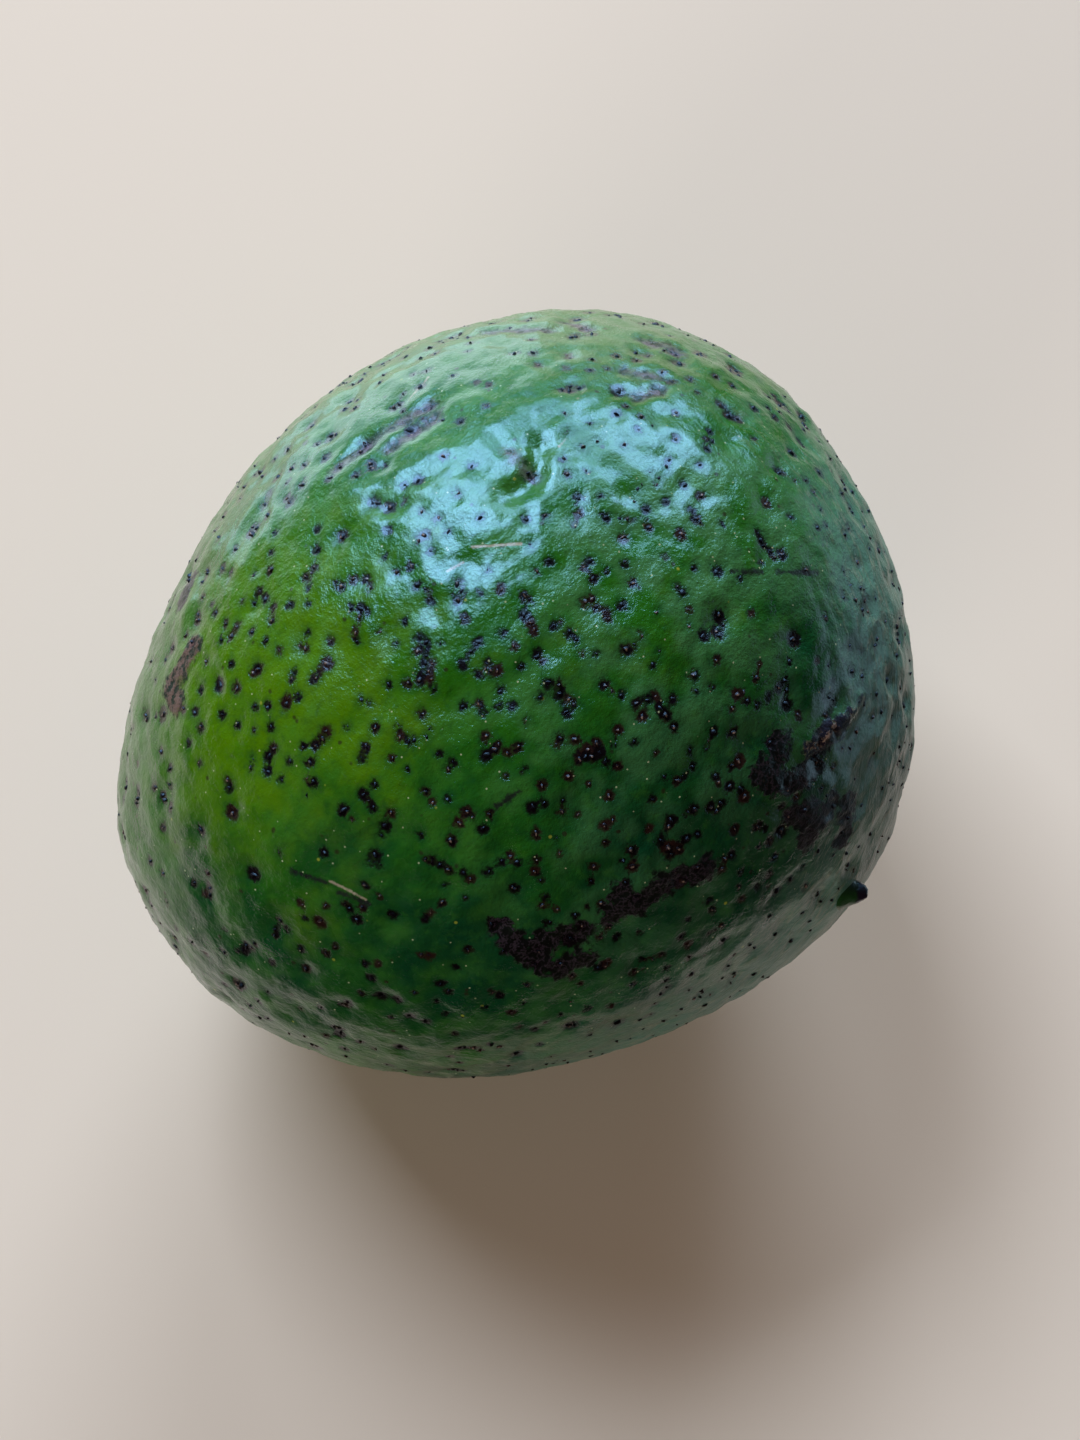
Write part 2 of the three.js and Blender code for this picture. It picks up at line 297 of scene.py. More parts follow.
# Relief of each kind of mark: where its edge begins and ends, how much of the roughness it takes,
# the level that is taken off it, and its height
MARK_RELIEF = {
    "smudge": (0.4, 2.6, 1.0, 0.45, 0.9),
    "cork": (0.6, 2.2, 1.2, 0.1, 0.8),
    "rub": (0.3, 2.4, 0.0, 1.0, 0.42),
    "scab": (0.6, 2.4, 1.0, 0.3, 0.6),
}
# Its colour's edge: how ragged it is, and where it begins and ends
MARK_EDGE = {
    "smudge": (3.4, 1.4, 2.3),
    "cork": (2.6, 0.5, 1.4),
    "rub": (2.6, 0.3, 1.8),
    "scab": (2.2, 1.2, 2.2),
}
SCRATCH_EDGE = (0.3, 0.05, 0.27)
STREAK_EDGE = (0.9, 0.1, 0.6)
LINE_FLATTENING = 0.8

# Corky grains: their width for a pore's radius, their height, and how uneven they are
GRAIN_WIDTH = 0.62
GRAIN_HEIGHT = 0.22
GRAIN_UNEVENNESS = 0.42
GRAIN_STRETCH = (0.7, 1.3)
DOME_HEIGHTS = (1.0, 0.8, 0.25, -0.9)
DOME_SIDES = 8

# The turned forms: sides, how uneven they are, and the size of that
POINT_FORM = (40, 0.16, 1.1)
STEM_FORM = (56, 0.22, 1.3)
RING_STEPS = 4

# Dots between the pores: spacing, radius, and the share of places that have one
SPECK_AND_GLINT_DOTS = (1.15, 0.16, 0.22)
YELLOW_DOTS = (2.9, 0.3, 0.13)
BROWN_DOTS = (2.5, 0.42, 0.35)

# The peel's mottling, from broad to fine, and its shallowest relief, in millimetres
DRIFT_SIZE = 15
BLOTCH_SIZE = 5
CLOUD_SIZE = 7
MOTTLE_SIZE = 1.6
STREAK_SIZE = 1.1
LOOSE_SIZE = 1.5
TIGHT_SIZE = 0.45
BUMP_SIZE = 1.8
BUMP_DEPTH = 0.13
HAZE_SIZE = 5
ROUGHNESS = (0.22, 0.36)

# What shows only near the picture's outline, wrinkles and a painted sheen of the grazing edge: how far out it
# starts and is full, how far back from the camera it ends, and the wrinkles' size and stretch along the
# outline
RIM_WRINKLES = (39, 51)
RIM_SHEEN_REACH = (38, 52)
RIM_BACK = (-28, -6)
WRINKLE_SIZE = 1.5
RIM_STRETCH = 0.16

# Tints and strength of the light
DAYLIGHT = (0.97, 0.99, 1.0)
PALE_WARM = (1.0, 0.88, 0.78)
WARM = (1.0, 0.55, 0.28)
CYAN = (0.29, 0.58, 1.0)
PALE_CYAN = (0.5, 0.8, 1.0)
ROOM_STRENGTH = 0.13

# Lamps: place, distance, size, radiance and tint. The place is a direction from the body, or an
# angle round the picture, anticlockwise from its right, and one over the floor.
LAMPS = {
    "high daylight": ((121, 48), 2.4, (1.2, 0.84), 13, DAYLIGHT),
    "low daylight": ((82, 18), 2.4, (1.0, 0.7), 22.5, DAYLIGHT),
    "fill": ((-120, 15), 2.4, (0.9, 0.7), 11.5, PALE_WARM),
}
# Panels that only show as the peel's shine
SHINES = {
    "tall shine": ((0.1, 0.67, 0.73), 0.8, (0.34, 0.54), 20, CYAN),
    "middle shine": ((0.5, 0.64, 0.57), 0.8, (0.3, 0.36), 7, CYAN),
    "side shine": ((0.79, 0.4, 0.46), 0.8, (0.32, 0.3), 16, CYAN),
    "low shine": ((119, 0), 0.18, (0.2, 0.09), 2.6, PALE_CYAN),
    "right shine": ((12, -8), 0.3, (0.3, 0.14), 0.45, PALE_CYAN),
    "lower right shine": ((12, -12), 0.3, (0.3, 0.09), 0.6, PALE_CYAN),
}

# How far the floor reaches from the foot: left, right, down and up in the picture
FLOOR_REACH = (-0.35, 0.112, -0.112, 1.2)
WIDE_REACH = (-4, 4, -4, 4)
WIDE_DEPTH = 0.3


def bell(distance, width):
    return math.exp(-((distance / width) ** 2))


def smoothstep(value, low, high):
    part = min(max((value - low) / (high - low), 0), 1)
    return part * part * (3 - 2 * part)


# Geometry of the smooth body

def direction_of(longitude, latitude):
    lon = math.radians(longitude)
    lat = math.radians(latitude)
    return Vector((math.cos(lat) * math.cos(lon), math.cos(lat) * math.sin(lon), math.sin(lat)))


def egg(direction):
    girth = 0.5 / math.sqrt(1 - 4 * TAPER * direction.x + 4 * TAPER * TAPER)
    return Vector((LENGTH / 2 * direction.x, BREADTH * girth * direction.y, HEIGHT * girth * direction.z))


LEAN = Matrix.Rotation(-math.radians(STEM_DIP), 3, "Y")


def find_foot():
    reach, step = FOOT_SEARCH
    tilts = [-reach + step * i for i in range(int(2 * reach / step) + 1)]
    directions = [Matrix.Rotation(math.radians(tilt), 3, "Y") @ Vector((0, 0, -1)) for tilt in tilts]
    return min(directions, key=lambda direction: (LEAN @ egg(direction)).z)


FOOT = find_foot()
LIFT = Vector((-(LEAN @ egg(FOOT)).x, 0, -(LEAN @ egg(FOOT)).z - FOOT_DEPTH))


def swelling(direction):
    total = 0
    for longitude, latitude, height in SWELLS:
        angle = direction.angle(direction_of(longitude, latitude))
        total += height * bell(angle, math.radians(SWELL_SPREAD))
    return total


def body_point(direction):
    """The smooth body's surface in a direction from its middle, in the part's own frame, in metres."""
    return (LEAN @ (egg(direction) + direction * swelling(direction)) + LIFT) * MM


def drawing(seed):
    """Repeatable random numbers from 0 to 1."""
    state = seed
    while True:
        state = state * 16807 % 2147483647
        yield state / 2147483647


def random_direction(draw):
    z = 2 * next(draw) - 1
    turn = 2 * math.pi * next(draw)
    flat = math.sqrt(1 - z * z)
    return Vector((flat * math.cos(turn), flat * math.sin(turn), z))


def between(limits, part):
    return limits[0] + (limits[1] - limits[0]) * part


def draw_pits(draw):
    """The same pits as the part's own source draws: (direction, depth, width)."""
    kept = []
    while len(kept) < PIT_COUNT:
        direction = random_direction(draw)
        depth = between(PIT_DEPTH, next(draw))
        width = between(PIT_WIDTH, next(draw))
        thinned = next(draw) < STEM_END_THINNING * smoothstep(-direction.x, *STEM_END_REACH)
        centre = egg(direction)
        crowded = any((centre - egg(other)).length < PIT_SPACING for other, _, _ in kept)
        if not thinned and not crowded:
            kept.append((direction, depth, width))
    return kept


# The photo's camera, and the places on the body that its pixels show

def camera_frame():
    azimuth = math.radians(VIEW_AZIMUTH)
    elevation = math.radians(VIEW_ELEVATION)
    back = Vector((
        math.sin(azimuth) * math.cos(elevation),
        -math.cos(azimuth) * math.cos(elevation),
        math.sin(elevation),
    ))
    right = Vector((math.cos(azimuth), math.sin(azimuth), 0))
    up = back.cross(right)
    aside = (BODY_PIXEL[0] - PHOTO_WIDTH / 2) / FOCAL_PIXELS * VIEW_DISTANCE
    below = (BODY_PIXEL[1] - PHOTO_HEIGHT / 2) / FOCAL_PIXELS * VIEW_DISTANCE
    place = (LIFT + back * VIEW_DISTANCE - right * aside + up * below) * MM
    return right, up, back, place


RIGHT, UP, BACK, CAMERA_PLACE = camera_frame()
LEVEL_UP = Vector((UP.x, UP.y, 0)).normalized()


def solid_tree():
    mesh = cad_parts["avocado"].data
    return BVHTree.FromPolygons([v.co for v in mesh.vertices], [p.vertices for p in mesh.polygons])


SOLID = solid_tree()


def at_pixel(pixel):
    """The place on the fruit that a pixel of the photo shows."""
    aside = (pixel[0] - PHOTO_WIDTH / 2) / FOCAL_PIXELS
    below = (pixel[1] - PHOTO_HEIGHT / 2) / FOCAL_PIXELS
    hit, _, _, _ = SOLID.ray_cast(CAMERA_PLACE, (RIGHT * aside - UP * below - BACK).normalized())
    return hit


# Node trees written as expressions

class Wire:
    """A socket that can be used in sums and products. Each use adds a Math or a Vector Math node."""

    def __init__(self, graph, socket):
        self.graph = graph
        self.socket = socket

    def __add__(self, other):
        return self.graph.maths("ADD", self, other)

    def __radd__(self, other):
        return self.graph.maths("ADD", other, self)

    def __sub__(self, other):
        return self.graph.maths("SUBTRACT", self, other)

    def __rsub__(self, other):
        return self.graph.maths("SUBTRACT", other, self)

    def __mul__(self, other):
        return self.graph.maths("MULTIPLY", self, other)

    def __rmul__(self, other):
        return self.graph.maths("MULTIPLY", other, self)

    def __truediv__(self, other):
        return self.graph.maths("DIVIDE", self, other)

    def __rtruediv__(self, other):
        return self.graph.maths("DIVIDE", other, self)

    def __neg__(self):
        return self.graph.maths("MULTIPLY", self, -1)

    def is_vector(self):
        return self.socket.type in {"VECTOR", "RGBA"}


def is_vector(value):
    return value.is_vector() if isinstance(value, Wire) else not isinstance(value, (int, float))


def socket_of(sockets, key):
    if isinstance(key, int):
        return sockets[key]
    return next(socket for socket in sockets if socket.enabled and socket.name == key)


class Graph:
    """A node tree. Every node but the Math ones comes from the method wire."""

    def __init__(self, tree):
        self.tree = tree

    def wire(self, kind, settings=None, sockets=None, output=0):
        node = self.tree.nodes.new(kind)
        for name, value in (settings or {}).items():
            setattr(node, name, value)
        for key, value in (sockets or {}).items():
            socket = socket_of(node.inputs, key)
            if isinstance(value, Wire):
                self.tree.links.new(value.socket, socket)
            else:
                socket.default_value = value
        return Wire(self, socket_of(node.outputs, output)) if len(node.outputs) else None

    def maths(self, operation, *values):
        if not any(is_vector(value) for value in values):
            return self.wire("ShaderNodeMath", {"operation": operation}, dict(enumerate(values)))
        if operation == "MULTIPLY" and not all(is_vector(value) for value in values):
            vector, number = values if is_vector(values[0]) else values[::-1]
            return self.wire("ShaderNodeVectorMath", {"operation": "SCALE"}, {0: vector, 3: number})
        return self.wire("ShaderNodeVectorMath", {"operation": operation}, dict(enumerate(values)))

    def function(self, operation, *values):
        return self.wire("ShaderNodeMath", {"operation": operation}, dict(enumerate(values)))

    def length(self, vector):
        return self.wire("ShaderNodeVectorMath", {"operation": "LENGTH"}, {0: vector}, "Value")

    def dot(self, first, second):
        return self.wire("ShaderNodeVectorMath", {"operation": "DOT_PRODUCT"}, {0: first, 1: second}, "Value")

    def split(self, vector):
        parts = self.wire("ShaderNodeSeparateXYZ", {}, {0: vector})
        return [Wire(self, socket) for socket in parts.socket.node.outputs]

    def join(self, x, y, z):
        return self.wire("ShaderNodeCombineXYZ", {}, {0: x, 1: y, 2: z})

    def bell(self, distance, width):
        ratio = distance / width
        return self.function("EXPONENT", -(ratio * ratio))

    def smooth(self, value, low, high, start=0.0, end=1.0):
        settings = {"interpolation_type": "SMOOTHSTEP"}
        sockets = {"Value": value, "From Min": low, "From Max": high, "To Min": start, "To Max": end}
        return self.wire("ShaderNodeMapRange", settings, sockets)

    def noise(self, place, size, detail=2.0, roughness=0.5, output=0):
        """Smooth random values from 0 to 1, whose features are about size metres across."""
        sockets = {"Vector": place, "Scale": 1 / size, "Detail": detail, "Roughness": roughness}
        return self.wire("ShaderNodeTexNoise", {"noise_dimensions": "3D"}, sockets, output)

    def cells(self, place, size):
        """Random cells: the distance to the nearest one's middle, and its three random numbers."""
        distance = self.wire("ShaderNodeTexVoronoi", {}, {"Vector": place, "Scale": 1 / size}, "Distance")
        return distance, self.split(Wire(self, distance.socket.node.outputs["Color"]))

    def bump(self, height, depth, strength=1.0):
        """A normal bent by a height, where 1 stands for depth millimetres."""
        sockets = {"Strength": strength, "Distance": depth * MM, "Height": height}
        return self.wire("ShaderNodeBump", {}, sockets)

    def blend(self, factor, first, second):
        """Mixes two colours."""
        sockets = {"Factor": factor, "A": colour(first), "B": colour(second)}
        return self.wire("ShaderNodeMix", {"data_type": "RGBA"}, sockets, "Result")


def colour(value):
    return value if isinstance(value, Wire) else (*value, 1.0)


# Geometry Nodes helpers

class Former(Graph):
    """A Geometry Nodes tree with named inputs, whose result becomes a plain mesh."""

    def __init__(self, name, inputs):
        super().__init__(bpy.data.node_groups.new(name, "GeometryNodeTree"))
        face = self.tree.interface
        face.new_socket(name="Geometry", in_out="OUTPUT", socket_type="NodeSocketGeometry")
        self.values = {}
        for label, value in inputs.items():
            kind = "NodeSocketObject" if isinstance(value, bpy.types.Object) else "NodeSocketFloat"
            self.values[label] = (face.new_socket(name=label, in_out="INPUT", socket_type=kind), value)
        source = self.tree.nodes.new("NodeGroupInput")
        self.given = {label: Wire(self, source.outputs[label]) for label in inputs}

    def attribute(self, name):
        return self.wire("GeometryNodeInputNamedAttribute", {"data_type": "FLOAT"}, {"Name": name})

    def geometry_of(self, label):
        return self.wire("GeometryNodeObjectInfo", {}, {"Object": self.given[label]}, "Geometry")

    def keep(self, geometry, name, value):
        settings = {"data_type": "FLOAT", "domain": "POINT"}
        sockets = {"Geometry": geometry, "Name": name, "Value": value}
        return self.wire("GeometryNodeStoreNamedAttribute", settings, sockets)

    def move(self, geometry, **sockets):
        return self.wire("GeometryNodeSetPosition", {}, {"Geometry": geometry, **sockets})

    def nearest(self, geometry, place, kind, output="Distance"):
        settings = {"target_element": kind}
        return self.wire("GeometryNodeProximity", settings, {0: geometry, "Sample Position": place}, output)

    def sample(self, geometry, index, name):
        sockets = {"Geometry": geometry, "Value": self.attribute(name), "Index": index}
        return self.wire("GeometryNodeSampleIndex", {"data_type": "FLOAT"}, sockets)

    def finish(self, geometry, material):
        """Ends the tree, runs it and returns the result as a plain mesh object."""
        real = self.wire("GeometryNodeRealizeInstances", {}, {"Geometry": geometry})
        smooth = self.wire("GeometryNodeSetShadeSmooth", {}, {"Geometry": real})
        coated = self.wire("GeometryNodeSetMaterial", {}, {"Geometry": smooth, "Material": material})
        self.tree.links.new(coated.socket, self.tree.nodes.new("NodeGroupOutput").inputs[0])
        carrier = link(bpy.data.objects.new("carrier", bpy.data.meshes.new("carrier")))
        modifier = carrier.modifiers.new("form", "NODES")
        modifier.node_group = self.tree
        for socket, value in self.values.values():
            modifier[socket.identifier] = value
        shaped = carrier.evaluated_get(bpy.context.evaluated_depsgraph_get())
        mesh = bpy.data.meshes.new_from_object(shaped)
        bpy.data.objects.remove(carrier)
        mesh.name = self.tree.name
        return link(bpy.data.objects.new(self.tree.name, mesh))


def link(thing):
    bpy.context.scene.collection.objects.link(thing)
    return thing


def points_object(name, points, edges=(), **attributes):
    """A bare mesh of points, and edges between them, that a tree reads."""
    mesh = bpy.data.meshes.new(name)
    mesh.from_pydata([tuple(point) for point in points], edges, [])
    for label, values in attributes.items():
        mesh.attributes.new(label, "FLOAT", "POINT").data.foreach_set("value", values)
    return link(bpy.data.objects.new(name, mesh))


def lines_object(name, marks):
    """Marks as bent lines on the fruit."""
    points = []
    edges = []
    for pixels in marks.values():
        places = [at_pixel(pixel) for pixel in pixels]
        edges += [(len(points) + i, len(points) + i + 1) for i in range(len(places) - 1)]
        points += places
    return points_object(name, points, edges)


# Where the pores stand

def beside(direction, heading, distance):
    """A direction that is distance millimetres away over the body, towards a heading angle."""
    east = Vector((0, 0, 1)).cross(direction).normalized()
    north = direction.cross(east)
    step = east * math.cos(heading) + north * math.sin(heading)
    return (direction + step * distance / MEAN_RADIUS).normalized()


def scattered(draw, reach):
    """A random distance that is mostly small, on either side."""
    return (next(draw) + next(draw) - 1) * reach


def seen_pores(draw):
    """The pores that the photo shows most plainly: (place, radius, kind)."""
    pores = []
    for group in PORES_SEEN.values():
        pores += [(at_pixel((x, y)), radius * SEEN_SCALE, next(draw)) for x, y, radius in group]
    return pores


def pore_cluster(direction, draw):
    """The grains of one pit: often a single large one, else a patch of smaller ones."""
    heading = 2 * math.pi * next(draw)
    share = next(draw)
    if share < SINGLE_SHARE:
        return [(body_point(direction), between(SINGLE_RADIUS, next(draw)), next(draw))]
    count = round(between(CLUSTER_COUNT, ((share - SINGLE_SHARE) / (1 - SINGLE_SHARE)) ** 2))
    cluster = []
    for _ in range(count):
        spot = beside(direction, heading, scattered(draw, CLUSTER_STEP * count))
        spot = beside(spot, heading + math.pi / 2, scattered(draw, CLUSTER_WIDTH))
        radius = between(CLUSTER_RADIUS, next(draw) ** 1.5)
        cluster.append((body_point(spot), radius, next(draw)))
    return cluster


def pore_layout(pits):
    """All pores: those that the photo shows, a cluster in each pit, and loose ones between."""
    draw = drawing(SEED + 1)
    pores = seen_pores(draw)
    taken = [place for place, _, _ in pores]

    def clear(place, room):
        return all((place - other).length > room * MM for other in taken)

    for direction, _, _ in pits:
        cluster = pore_cluster(direction, draw)
        if clear(body_point(direction), SEEN_ROOM):
            pores += cluster
    taken = [place for place, _, _ in pores]
    for _ in range(LOOSE_PORES):
        spot = random_direction(draw)
        radius = between(LOOSE_RADIUS, next(draw) ** 1.5)
        kind = next(draw)
        thinned = next(draw) < STEM_END_THINNING * smoothstep(-spot.x, *STEM_END_REACH)
        if not thinned and clear(body_point(spot), LOOSE_ROOM):
            pores.append((body_point(spot), radius, kind))
            taken.append(body_point(spot))
    bare = [
        (body_point(middle), room)
        for middle, room in zip((direction_of(*POINT_PLACE), direction_of(*STEM_PLACE), FOOT), BARE_ROOM)
    ]
    return [
        pore for pore in pores
        if all((pore[0] - middle).length > room * MM for middle, room in bare)
    ]


# Forms

def form_skin(pits, pores, material):
    """The whole peel: a cube's grid blown up to the body, with its relief and the marks' distances."""
    inputs = {
        "Length": LENGTH * MM,
        "Breadth": BREADTH * MM,
        "Height": HEIGHT * MM,
        "Taper": float(TAPER),
        "Leather Depth": LEATHER[1] * MM,
        "Pebble Depth": PEBBLE[1] * MM,
        "Crater Depth": CRATER_DEPTH,
        "Pits": pits,
        "Pores": pores,
        "fold lines": lines_object("fold lines", FOLDS),
    }
    for name, lines in MARKS.items():
        inputs[name + " lines"] = lines_object(name + " lines", lines)
    g = Former("avocado_skin", inputs)
    steps = SKIN_STEPS + 1
    cube = {"Size": (2, 2, 2), "Vertices X": steps, "Vertices Y": steps, "Vertices Z": steps}
    ball = g.wire("GeometryNodeMeshCube", {}, cube)
    ball = g.wire("GeometryNodeMergeByDistance", {}, {"Geometry": ball, "Distance": 1e-5})
    grid = g.wire("GeometryNodeInputPosition")
    even = g.wire("ShaderNodeVectorMath", {"operation": "TANGENT"}, {0: grid * (math.pi / 4)})
    direction = g.wire("ShaderNodeVectorMath", {"operation": "NORMALIZE"}, {0: even})
    x, y, z = g.split(direction)
    taper = g.given["Taper"]
    girth = 0.5 / g.function("SQRT", 1 - 4 * taper * x + 4 * taper * taper)
    plain = g.join(
        g.given["Length"] / 2 * x,
        g.given["Breadth"] * girth * y,
        g.given["Height"] * girth * z,
    )
    swell = 0.0
    for longitude, latitude, height in SWELLS:
        cosine = g.dot(direction, tuple(direction_of(longitude, latitude)))
        angle = g.function("ARCCOSINE", g.function("MINIMUM", cosine, 1.0))
        swell = g.bell(angle, math.radians(SWELL_SPREAD)) * (height * MM) + swell

    def placed(vector):
        return g.wire("ShaderNodeVectorRotate", {"rotation_type": "Y_AXIS"}, {
            "Vector": vector, "Angle": -math.radians(STEM_DIP),
        }) + tuple(LIFT * MM)

    smooth = placed(plain + direction * swell)
    outward = smooth - tuple(LIFT * MM)
    outward = g.wire("ShaderNodeVectorMath", {"operation": "NORMALIZE"}, {0: outward})

    # Broad leathery unevenness, and finer pebbles that stand up between the pores
    leather = (g.noise(smooth, LEATHER[0] * MM) - 0.5) * RELIEF_GAIN * g.given["Leather Depth"]
    pebble = g.noise(smooth, PEBBLE[0] * MM, 2.5, 0.6) - 0.5
    pebble = pebble * RELIEF_GAIN * g.given["Pebble Depth"]

    pits_here = g.geometry_of("Pits")
    index = g.wire("GeometryNodeSampleNearest", {}, {"Geometry": pits_here, "Sample Position": smooth})
    pit_away = g.nearest(pits_here, smooth, "POINTS")
    pitted = g.sample(pits_here, index, "depth") * g.bell(pit_away, g.sample(pits_here, index, "width"))

    pores_here = g.geometry_of("Pores")
    index = g.wire("GeometryNodeSampleNearest", {}, {"Geometry": pores_here, "Sample Position": smooth})
    pore_away = g.nearest(pores_here, smooth, "POINTS")
    radius = g.sample(pores_here, index, "radius")
    kind = g.sample(pores_here, index, "kind")
    crater = g.bell(pore_away, radius * CRATER_WIDTH[0] + CRATER_WIDTH[1] * MM)
    dimpled = g.given["Crater Depth"] * radius * crater
    relief = leather + pebble - pitted - dimpled

    # The marks wander off their lines, and are rough
    wobble = (g.noise(smooth, WOBBLE[0] * MM) - 0.5) * (WOBBLE[1] * MM)
    rough = g.noise(smooth, ROUGH_SIZE * MM, 2.0, 0.6)
    away = {}
    for name, (near, far, share, level, height) in MARK_RELIEF.items():
        away[name] = g.nearest(g.geometry_of(name + " lines"), smooth, "EDGES") + wobble
        here = g.smooth(away[name], near * MM, far * MM, 1.0, 0.0)
        relief = relief + here * (rough * share - level) * (height * MM)

    fold = g.nearest(g.geometry_of("fold lines"), smooth, "EDGES")
    folded = g.bell(fold, FOLD[0] * MM) * (FOLD[1] * MM)
    knob_away = g.length(smooth - tuple(at_pixel(KNOB_PIXEL)))
    wrinkled = (g.noise(smooth, KNOB_WRINKLES[0] * MM, 1.0) - 0.5) * (KNOB_WRINKLES[1] * MM)
    knobbed = g.bell(knob_away, KNOB[0] * MM) * (wrinkled + KNOB[1] * MM)
    relief = relief + knobbed - folded

    point_away = g.length(smooth - tuple(body_point(direction_of(*POINT_PLACE))))
    mound = g.bell(point_away, POINT_MOUND[0] * MM) * (POINT_MOUND[1] * MM)
    stem_away = g.length(smooth - tuple(body_point(direction_of(*STEM_PLACE))))
    hollow = g.bell(stem_away, STEM_HOLLOW[0] * MM) * (STEM_HOLLOW[1] * MM)

    foot_away = g.length(smooth - tuple(body_point(FOOT)))
    clear = g.smooth(foot_away, FOOT_SMOOTH[0] * MM, FOOT_SMOOTH[1] * MM)
    raised = smooth + outward * (relief * clear + mound - hollow)
    px, py, pz = g.split(raised)
    grounded = g.join(px, py, g.function("MAXIMUM", pz, 0.0))

    skin = g.keep(ball, "pore", (pore_away - radius) / MM)
    skin = g.keep(skin, "kind", kind)
    for name, distance in away.items():
        skin = g.keep(skin, name, distance / MM)
    skin = g.move(skin, Position=grounded)
    return g.finish(skin, material)


def dome_object():
    """A low dome, 1 across its half and 1 high, whose rim turns down into the peel."""
    sides = DOME_SIDES
    rings = len(DOME_HEIGHTS) - 1
    points = [(0, 0, DOME_HEIGHTS[0])]
    rise = [1.0]
    for ring in range(1, rings + 1):
        radius = (ring / rings) ** 0.85
        for side in range(sides):
            angle = 2 * math.pi * side / sides
            points.append((radius * math.cos(angle), radius * math.sin(angle), DOME_HEIGHTS[ring]))
            rise.append(1 - ring / rings)
    faces = [(0, 1 + i, 1 + (i + 1) % sides) for i in range(sides)]
    for ring in range(rings - 1):
        inner = 1 + ring * sides
        outer = inner + sides
        for i in range(sides):
            j = (i + 1) % sides
            faces.append((inner + i, outer + i, outer + j, inner + j))
    mesh = bpy.data.meshes.new("pore dome")
    mesh.from_pydata(points, [], faces)
    mesh.attributes.new("rise", "FLOAT", "POINT").data.foreach_set("value", rise)
    return link(bpy.data.objects.new("pore dome", mesh))


def form_pores(pores, skin, material):
    """The raised dark grain in each pore."""
    inputs = {
        "Pores": pores,
        "Skin": skin,
        "Dome": dome_object(),
        "Grain Width": GRAIN_WIDTH,
        "Grain Height": GRAIN_HEIGHT * MM,
        "Unevenness": GRAIN_UNEVENNESS * MM,
    }
    g = Former("pore_grains", inputs)
    peel = g.geometry_of("Skin")
    place = g.wire("GeometryNodeInputPosition")
    seats = g.move(g.geometry_of("Pores"), Position=g.nearest(peel, place, "FACES", "Position"))
    normal = g.wire("GeometryNodeInputNormal")
    upright = g.wire("GeometryNodeSampleNearestSurface", {"data_type": "FLOAT_VECTOR"}, {
        "Mesh": peel, "Value": normal, "Sample Position": place,
    })
    turned = g.wire("FunctionNodeAlignRotationToVector", {"axis": "Z"}, {"Vector": upright})
    spin = g.wire("FunctionNodeRandomValue", {"data_type": "FLOAT"}, {
        "Max": 2 * math.pi, "Seed": NOISE_SEED,
    }, "Value")
    stretch = g.wire("FunctionNodeRandomValue", {"data_type": "FLOAT"}, {
        "Min": GRAIN_STRETCH[0], "Max": GRAIN_STRETCH[1], "Seed": NOISE_SEED + 1,
    }, "Value")
    angles = g.wire("FunctionNodeEulerToRotation", {}, {0: g.join(0.0, 0.0, spin)})
    turned = g.wire("FunctionNodeRotateRotation", {"rotation_space": "LOCAL"}, {
        "Rotation": turned, "Rotate By": angles,
    })
    width = g.attribute("radius") * g.given["Grain Width"]
    height = g.given["Grain Height"] * (g.attribute("radius") / MM + 0.3)
    size = g.join(width * stretch, width / stretch, height)
    grains = g.wire("GeometryNodeInstanceOnPoints", {}, {
        "Points": seats, "Instance": g.geometry_of("Dome"), "Rotation": turned, "Scale": size,
    })
    grains = g.wire("GeometryNodeRealizeInstances", {}, {"Geometry": grains})
    wander = g.noise(place, 0.75 * MM, 1.0, 0.5, "Color") - (0.5, 0.5, 0.5)
    grains = g.move(grains, Offset=wander * 2 * g.given["Unevenness"])
    return g.finish(grains, material)


def turned_form(name, profile, place, heading, form, material):
    """A turned form on the body, roughened by noise. Its attribute rise runs from 0 to 1 up it."""
    sides, unevenness, grain = form
    axis = LEAN @ direction_of(*heading)
    upright = Vector((0, 0, 1)).rotation_difference(axis).to_matrix()
    seat = body_point(direction_of(*place))
    fine = []
    for (r0, h0), (r1, h1) in zip(profile, profile[1:]):
        parts = [step / RING_STEPS for step in range(RING_STEPS)]
        fine += [(between((r0, r1), part), between((h0, h1), part)) for part in parts]
    top = profile[-1][1]
    points = []
    rise = []
    for radius, height in fine:
        for side in range(sides):
            angle = 2 * math.pi * side / sides
            local = Vector((radius * math.cos(angle), radius * math.sin(angle), height)) * MM
            point = seat + upright @ local
            points.append(point + noise.noise_vector(point / (grain * MM)) * unevenness * MM)
            rise.append(min(max(height / max(top, 1), 0), 1))
    points.append(seat + upright @ Vector((0, 0, top * MM)))
    rise.append(1.0)
    faces = []
    for ring in range(len(fine) - 1):
        for side in range(sides):
            other = (side + 1) % sides
            low = ring * sides
            faces.append((low + side, low + other, low + sides + other, low + sides + side))
    last = (len(fine) - 1) * sides
    faces += [(last + side, last + (side + 1) % sides, len(points) - 1) for side in range(sides)]
    mesh = bpy.data.meshes.new(name)
    mesh.from_pydata(points, [], faces)
    mesh.attributes.new("rise", "FLOAT", "POINT").data.foreach_set("value", rise)
    mesh.polygons.foreach_set("use_smooth", [True] * len(mesh.polygons))
    mesh.materials.append(material)
    return link(bpy.data.objects.new(name, mesh))


# Finishes

def new_material(name):
    material = bpy.data.materials.new(name)
    material.use_nodes = True
    graph = Graph(material.node_tree)
    return material, graph, material.node_tree.nodes["Principled BSDF"]


def plug(graph, shader, **values):
    for name, value in values.items():
        socket = shader.inputs[name.replace("_", " ")]
        if isinstance(value, Wire):
            graph.tree.links.new(value.socket, socket)
        else:
            socket.default_value = value


